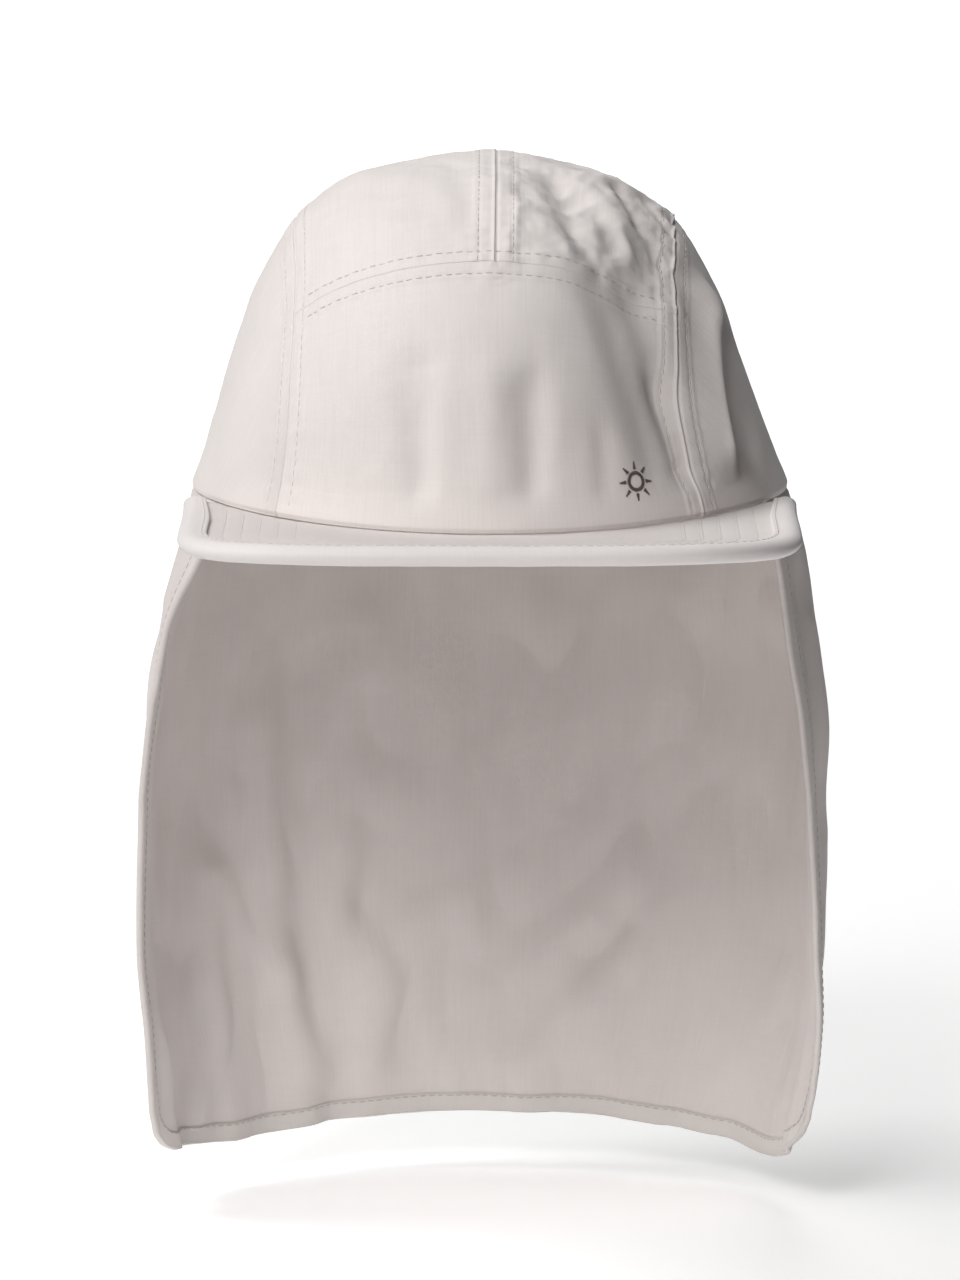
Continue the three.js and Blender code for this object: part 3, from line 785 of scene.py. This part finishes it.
def brim_top(x, y):
    """Height of the brim's upper face, pressed in along its rows of stitches."""
    away = edge_distance(x, y)
    points = np.stack([x, y, 0 * x], -1)
    z = brim_height(x, y) + BRIM_THICKNESS / 2 + 0.16 * MM * crinkle(points, 16 * MM, 9)
    for k in range(QUILT_ROWS):
        row = QUILT_START + k * QUILT_STEP
        z -= QUILT_DEPTH * np.exp(-(((away - row) / QUILT_WIDTH) ** 2))
    return z


def brim_place(u, v):
    along = mix(-1.0, 1.0, u)
    edge_x, edge_y = brim_plan(along, TAPE + 0.3 * MM)
    rim = on_rim(along * math.acos(BRIM_END))
    x = mix(edge_x, (RIM_HALF_WIDTH - CLOTH) * rim[:, 0], v)
    y = mix(edge_y, (RIM_FRONT - CLOTH) * rim[:, 1], v)
    return np.stack([x, y, brim_top(x, y)], -1)


BRIM_CLOTH = woven("brim_cloth", (220, 213, 210), streaks=0.7)
brim = cloth_piece(
    "brim_cloth", 260, 90, (260 * MM, 70 * MM), brim_place, BRIM_THICKNESS
)
brim.data.materials.append(BRIM_CLOTH)
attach(brim, "root")
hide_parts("brim")

# Quilting: the brim's rows of stitches, wherever they lie clear of the crown.
quilting = []
for k in range(QUILT_ROWS):
    row = QUILT_START + k * QUILT_STEP
    x, y = brim_plan(np.linspace(-0.985, 0.985, 900), row)
    clear = (x / RIM_HALF_WIDTH) ** 2 + (y / RIM_FRONT) ** 2 > 1.07
    clear &= edge_distance(x, y) > row - 0.2 * MM
    x, y = x[clear], y[clear]
    line = np.stack([x, y, brim_top(x, y)], -1)
    quilting.append(evenly(line, np.tile((0.0, 0.0, 1.0), (len(line), 1)), sink=0.45))
QUILT_THREAD = thread("quilt_thread", (208, 200, 196))
sewn("brim_stitches", quilting, QUILT_THREAD)


# ---- Brim binding ----
# One soft tape is folded over the brim's edge from end to end and sewn down on top.
# Its inner edge stands up in a small lip where the stitches pull it in.

LIP = [  # inset, rise: the tape's section from the lip round the nose, in millimetres
    (8.4, 1.72), (8.5, 2.2), (8.25, 2.6), (7.7, 2.72), (7.0, 2.6), (6.2, 2.62),
    (5.0, 2.78), (3.8, 2.8), (2.6, 2.62), (1.5, 2.15), (0.7, 1.5), (0.2, 0.75),
    (0, 0), (0.2, -0.75), (0.7, -1.5), (1.5, -2.15), (2.6, -2.62), (3.8, -2.8),
    (6.2, -2.75), (8.1, -2.6), (8.4, -1.72), (4.8, -1.72), (1.15, -1.6), (1.0, 0),
    (1.15, 1.6), (4.8, 1.72),
]
BINDING_TAPER = 0.2
BINDING_STATIONS = 420


def binding_spot(along, inset, rise):
    """A place on the binding, with the slight waves of hand-eased tape."""
    narrow = 1 - BINDING_TAPER * smooth(np.abs(along), 0.7, 1)
    x, y = brim_plan(along, np.where(inset > 3.8 * MM, inset * narrow, inset))
    wave = 0.12 * MM * crinkle(np.stack([x, y, rise], -1), 9 * MM, 12)
    return np.stack([x, y, brim_height(x, y) + rise + wave], -1)


def binding_place(u, v):
    section = np.array(LIP + LIP[:1]) * MM
    at = v * len(LIP)
    inset, rise = (np.interp(at, np.arange(len(section)), section[:, k]) for k in (0, 1))
    return binding_spot(mix(-1.0, 1.0, u), inset, rise)


BINDING_CLOTH = woven("binding_cloth", (228, 222, 220), streaks=0.6, pitch=0.7, slub=1.6)
binding = cloth_piece(
    "brim_binding_cloth", BINDING_STATIONS, len(LIP), (370 * MM, 40 * MM),
    binding_place, 0,
)
bm = bmesh.new()
bm.from_mesh(binding.data)
bmesh.ops.remove_doubles(bm, verts=bm.verts, dist=0.002 * MM)
bmesh.ops.holes_fill(bm, edges=[e for e in bm.edges if e.is_boundary], sides=0)
bmesh.ops.recalc_face_normals(bm, faces=bm.faces)
bm.to_mesh(binding.data)
bm.free()
binding.data.materials.append(BINDING_CLOTH)
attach(binding, "root")
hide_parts("brim_binding")

along = np.linspace(-0.99, 0.99, 900)
line = binding_spot(along, np.full(900, 7.0 * MM), np.full(900, 2.6 * MM))
sewn(
    "binding_stitches",
    [evenly(line, np.tile((0.0, 0.0, 1.0), (900, 1)), sink=0.4)], CROWN_THREAD,
)


# ---- Neck flap ----
# One thin sheet of the same kind of cloth, sewn to the rim behind the brim's ends and
# hanging free in long soft folds. From the front its inner face shows.

FLAP_LENGTH = 207 * MM
HEM_WIDTH = 6.6 * MM
HEM_THICKNESS = 2.1 * MM
CORNER_RADIUS = 20 * MM
FLAP_SETBACK = 1.6 * MM
FLAP_TOP_SPREAD = 180 - math.degrees(math.acos(BRIM_END) + FLAP_SETBACK / RIM_BACK)

LEVELS = np.array(
    [  # down, width, depth, centre, spread, shift
        (0, 1, 1, 0, FLAP_TOP_SPREAD, 0),
        (0.11, 1.063, 0.92, 0.06, 117, 0.015),
        (0.25, 1.123, 0.86, 0.11, 117, 0.008),
        (0.36, 1.16, 0.83, 0.14, 115, 0.001),
        (0.5, 1.169, 0.81, 0.16, 110, -0.014),
        (0.67, 1.176, 0.8, 0.17, 107, -0.018),
        (0.8, 1.162, 0.8, 0.17, 101, -0.014),
        (1, 1.128, 0.8, 0.17, 91, -0.029),
    ]
).T
HEM_LINE = np.array(
    [  # across, hang
        (-1, 0.985), (-0.58, 1.0155), (-0.3, 1.007), (0, 1),
        (0.3, 1.003), (0.52, 1.015), (0.72, 1.024), (1, 0.962),
    ]
).T
FLAP_FOLDS = [  # side, down, to side, to down, reach, depth
    (-0.4, 0.38, -0.37, 1, 0.045, 0.014),
    (-0.53, 0.6, -0.57, 1.02, 0.04, 0.012),
    (-0.22, 0.24, -0.23, 0.9, 0.05, 0.012),
    (-0.31, 0.3, -0.3, 1, 0.05, -0.008),
    (-0.8, 0.12, -0.62, 0.5, 0.08, -0.012),
    (-0.92, 0.3, -0.9, 0.8, 0.05, 0.01),
    (-0.88, 0.86, -0.87, 1.05, 0.06, 0.02),
    (0.04, 0.1, 0.02, 0.8, 0.08, -0.01),
    (-0.2, 0.82, -0.05, 0.7, 0.05, 0.01),
    (0.08, 0.95, 0.24, 0.76, 0.05, 0.01),
    (0.3, 0.2, 0.34, 0.96, 0.07, 0.012),
    (0.52, 0.28, 0.56, 1, 0.07, -0.012),
    (0.72, 0.2, 0.76, 0.9, 0.05, 0.014),
    (0.9, 0.14, 0.9, 0.6, 0.05, 0.016),
    (0.88, 0.76, 0.87, 1.05, 0.06, 0.018),
]


def level(down, column):
    return read(down, LEVELS[0], LEVELS[column])


def hangs(across, down):
    """The flap's outer face as it hangs, before its folds. The left side hangs straight
    forward past its widest place, and the right side curls in."""
    turn = np.radians(across * level(down, 4))
    forward = mix(RIM_FRONT / RIM_BACK, 1, smooth(down, 0, 0.25))
    depth = RIM_BACK * level(down, 2) * np.where(np.cos(turn) < 0, forward, 1)
    top = rim_height(RIM_HALF_WIDTH * np.sin(turn)) + BRIM_THICKNESS / 2
    straight = np.where(turn < -math.pi / 2, smooth(down, 0, 0.2), 0)
    x = RIM_HALF_WIDTH * (level(down, 1) * mix(np.sin(turn), -1, straight) + level(down, 5))
    y = RIM_BACK * level(down, 3) + depth * np.cos(turn)
    return np.stack([x, y, mix(top, -FLAP_LENGTH * read(across, *HEM_LINE), down)], -1)


def flap(across, down):
    loose = smooth(down, 0, 0.18)
    press = loose * FLAP_LENGTH * folded(FLAP_FOLDS, across, down)
    return hangs(across, down) - press[:, None] * normals(hangs, across, down)


HEM_PUCKER = 0.42 * MM

# Creases too fine for the plain solid, in the same form as the folds above.
FLAP_CREASES = [
    (-0.29, 0.45, -0.27, 0.66, 0.035, 0.007),
    (-0.27, 0.66, -0.31, 0.92, 0.035, 0.007),
    (-0.2, 0.35, -0.21, 0.66, 0.03, -0.007),
    (-0.21, 0.66, -0.15, 0.76, 0.03, -0.006),
    (-0.5, 0.6, -0.38, 0.76, 0.035, 0.007),
    (-0.38, 0.76, -0.35, 0.9, 0.03, 0.006),
    (-0.458, 0.28, -0.47, 0.5, 0.035, 0.007),
    (-0.03, 0.12, -0.02, 0.4, 0.04, -0.005),
    (0.05, 0.12, 0.05, 0.4, 0.045, 0.005),
    (-0.22, 0.76, -0.02, 0.64, 0.035, 0.006),
    (-0.1, 0.88, 0.18, 0.7, 0.035, 0.007),
    (0.05, 0.88, 0.24, 0.7, 0.03, -0.006),
    (0.42, 0.3, 0.5, 0.64, 0.08, -0.008),
    (0.6, 0.75, 0.5, 0.95, 0.05, 0.006),
    (-0.66, 0.95, -0.55, 0.78, 0.035, 0.008),
    (-0.78, 0.95, -0.6, 0.7, 0.03, -0.006),
]


def flap_cloth(across, down):
    """The flap's outer face with its finer creases, and the hem's puckers."""
    points = flap(across, down)
    long_creases = crinkle(points * (1, 1, 0.3), 11 * MM, 21)
    soft_creases = crinkle(points * (1, 1, 0.7), 26 * MM, 24)
    loose = smooth(down, 0.01, 0.2) * (1 - 0.7 * smooth(np.abs(across), 0.75, 0.95))
    fine_creases = creased(points * (1, 1, 0.55), 17 * MM, 28)
    lift = loose * MM * (0.9 * long_creases + 1.5 * soft_creases + 0.5 * fine_creases)
    hem = smooth(down, 0.86, 0.97) * (1 - smooth(down, 0.98, 1.0) * 0.6)
    lift += hem * HEM_PUCKER * crinkle(points * (1, 1, 0.25), 4.5 * MM, 27)
    lift -= 1.7 * MM * (1 - smooth(down, -0.008, 0.008))
    lift -= FLAP_LENGTH * folded(FLAP_CREASES, across, down)
    return points + lift[:, None] * normals(flap, across, down)


CORNER_DOWN = 1 - CORNER_RADIUS / FLAP_LENGTH
SIDE_SHARE, CORNER_SHARE = 0.265, 0.044


def half_spread(down):
    """Half of the flap's width at a level in metres, up to where its corners begin."""
    at = np.minimum(down, CORNER_DOWN)
    reach = level(at, 1) * RIM_HALF_WIDTH + level(at, 2) * RIM_BACK
    return np.radians(level(at, 4)) * reach / 2


def flap_outline(share, inset):
    """The flap's edge, in from it by inset: down the left, along the hem, up the right."""
    turn = np.where(share > 0.5, 1, -1)
    near = np.minimum(share, 1 - share)
    bend = CORNER_RADIUS - inset
    wide = half_spread(np.ones_like(share))
    start = 1 - CORNER_RADIUS / wide
    corner = np.clip((near - SIDE_SHARE) / CORNER_SHARE, 0, 1) * math.pi / 2
    past = (near - SIDE_SHARE - CORNER_SHARE) / (0.5 - SIDE_SHARE - CORNER_SHARE)
    bottom = start * (1 - np.maximum(0, past)) + bend / wide * np.cos(corner)
    down = CORNER_DOWN * np.minimum(1, near / SIDE_SHARE)
    beside = 1 - inset / half_spread(down)
    across = np.where(near <= SIDE_SHARE, beside, bottom)
    return turn * across, down + bend / FLAP_LENGTH * np.sin(corner)


UNDER_HEM = HEM_WIDTH - 1 * MM


def flap_place(u, v):
    foot, foot_down = flap_outline(mix(SIDE_SHARE, 1 - SIDE_SHARE, u), UNDER_HEM)
    down = mix(-0.02, foot_down, v)
    share = foot / (1 - UNDER_HEM / half_spread(np.ones_like(u)))
    return flap_cloth(share * (1 - UNDER_HEM / half_spread(down)), down)


# The flap's cloth is painted a shade darker than the crown's, though it is the same cloth: painted
# shade for the shade its inner face lies in under the brim and crown.
SHADED_FLAP_CLOTH = woven("flap_cloth", (211, 203, 200), streaks=0.9, slub=1.3, mottle=0.7)
neck_flap = cloth_piece(
    "neck_flap_cloth", 300, 150, (345 * MM, 205 * MM), flap_place, CLOTH
)
neck_flap.data.materials.append(SHADED_FLAP_CLOTH)
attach(neck_flap, "root")
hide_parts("neck_flap")


# ---- Flap hem ----
# The flap's cloth is turned over twice along its three free edges and stitched down,
# so the edge is thicker and stiffer than the sheet and puckers along its stitches.

HEM_SPARE = (HEM_THICKNESS - CLOTH) / 2


def hem_place(u, v):
    across, down = flap_outline(u, mix(HEM_WIDTH, 0, v))
    turned = HEM_SPARE * np.sqrt(np.clip(1 - (2 * v - 1) ** 8, 0.1, 1))
    return flap_cloth(across, down) + turned[:, None] * normals(flap, across, down)


HEM_CLOTH = woven("hem_cloth", (213, 206, 202), streaks=0.5)
hem = cloth_piece(
    "flap_hem_cloth", 760, 8, (700 * MM, HEM_WIDTH), hem_place, HEM_THICKNESS
)
hem.data.materials.append(HEM_CLOTH)
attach(hem, "root")
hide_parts("flap_hem")

HEM_STITCH_INSET = HEM_WIDTH - 1.1 * MM
across, down = flap_outline(np.linspace(0.004, 0.996, 1800), np.full(1800, HEM_STITCH_INSET))
outs = normals(flap, across, down)
line = flap_cloth(across, down)
# The hem's thread is painted darker than the crown's thread: painted shade, like the flap's cloth,
# for the shade the flap hangs in.
SHADED_HEM_THREAD = thread("shaded_hem_thread", (184, 174, 169))
hem_stitches = sewn(
    "hem_stitches",
    [
        evenly(line + outs * HEM_SPARE, outs),
        evenly(line - outs * (CLOTH + HEM_SPARE), -outs),
    ],
    SHADED_HEM_THREAD,
)


# ---- Studio ----
# A strip of white paper is the floor and curves up far behind. The main soft light is
# at the left, so the cap's right side lies in shade, with a weak fill from the front.

PAPER_Z = CAD_LOW.z - 12 * MM
PAPER_HALF, PAPER_FRONT, PAPER_TURN, PAPER_BACK = 0.52, -0.6, 3.0, 3.8
PAPER_GLOW = 0.33

bm = bmesh.new()
bmesh.ops.create_grid(bm, x_segments=2, y_segments=60, size=1)
for vert in bm.verts:
    run = PAPER_FRONT + (vert.co.y + 1) / 2 * 6.2
    curve = max(0.0, run - PAPER_TURN)
    radius = PAPER_BACK - PAPER_TURN
    angle = min(curve / radius, math.pi / 2)
    rise = radius * (1 - math.cos(angle)) + max(0.0, curve - radius * math.pi / 2)
    depth = min(run, PAPER_TURN) + radius * math.sin(angle)
    vert.co = (vert.co.x * PAPER_HALF, depth, PAPER_Z + rise)
for face in bm.faces:
    face.smooth = True
mesh = bpy.data.meshes.new("paper")
bm.to_mesh(mesh)
bm.free()
paper = bpy.data.objects.new("paper", mesh)
bpy.context.collection.objects.link(paper)
f = Finish("white_paper")
f.node(
    "OutputMaterial", {},
    {
        "Surface": f.node(
            "BsdfPrincipled", {},
            {
                "Base Color": (0.93, 0.93, 0.93, 1),
                "Roughness": 0.85,
                "Specular IOR Level": 0.1,
                "Emission Color": (1, 1, 1, 1),
                "Emission Strength": PAPER_GLOW,
            },
        )
    },
)
paper.data.materials.append(f.material)


def softbox(name, place, target, size, power, colour=(1, 1, 1)):
    light = bpy.data.lights.new(name, "AREA")
    light.shape, light.size, light.size_y = "RECTANGLE", size[0], size[1]
    light.energy, light.color = power, colour
    lamp = bpy.data.objects.new(name, light)
    bpy.context.collection.objects.link(lamp)
    lamp.location = place
    lamp.rotation_euler = (Vector(target) - Vector(place)).to_track_quat("-Z", "Y").to_euler()
    return lamp


softbox("key", (-1.9, -1.0, 1.0), (0, 0, -0.03), (1.4, 1.4), 11, (1, 0.985, 0.97))
softbox("front", (-0.65, -1.7, 1.25), (0, 0, -0.03), (0.8, 0.8), 26)
softbox("low", (-0.5, -1.9, -0.05), (0, 0, -0.1), (0.8, 0.8), 1.5)
softbox("top", (-1.1, -0.1, 1.5), (0, 0, 0.02), (0.8, 0.8), 15)
softbox("paper_light", (0, 1.8, 1.4), (0, 1.8, 0), (0.8, 1.8), 15)
softbox("backdrop_light", (0, 2.4, 1.3), (0, 3.8, 0.1), (1.6, 0.8), 14)

world = bpy.data.worlds.new("studio")
bpy.context.scene.world = world
world.use_nodes = True
sky = world.node_tree.nodes["Background"]
sky.inputs["Color"].default_value = (1, 1, 1, 1)
sky.inputs["Strength"].default_value = 0.045
bpy.context.scene.view_settings.view_transform = "Standard"

# The camera stands 1.8 m off, a little above the rim.
CAMERA_DISTANCE, CAMERA_RISE = 1.8, math.radians(6)
CAMERA_PITCH, CAMERA_YAW = math.radians(7.3), math.radians(0.096)
camera = bpy.data.objects.new("camera", bpy.data.cameras.new("camera"))
bpy.context.collection.objects.link(camera)
camera.data.lens, camera.data.sensor_width = 167.06, 36
camera.location = (
    0, -CAMERA_DISTANCE * math.cos(CAMERA_RISE), CAMERA_DISTANCE * math.sin(CAMERA_RISE)
)
camera.rotation_euler = (math.pi / 2 - CAMERA_PITCH, 0, CAMERA_YAW)
bpy.context.scene.camera = camera
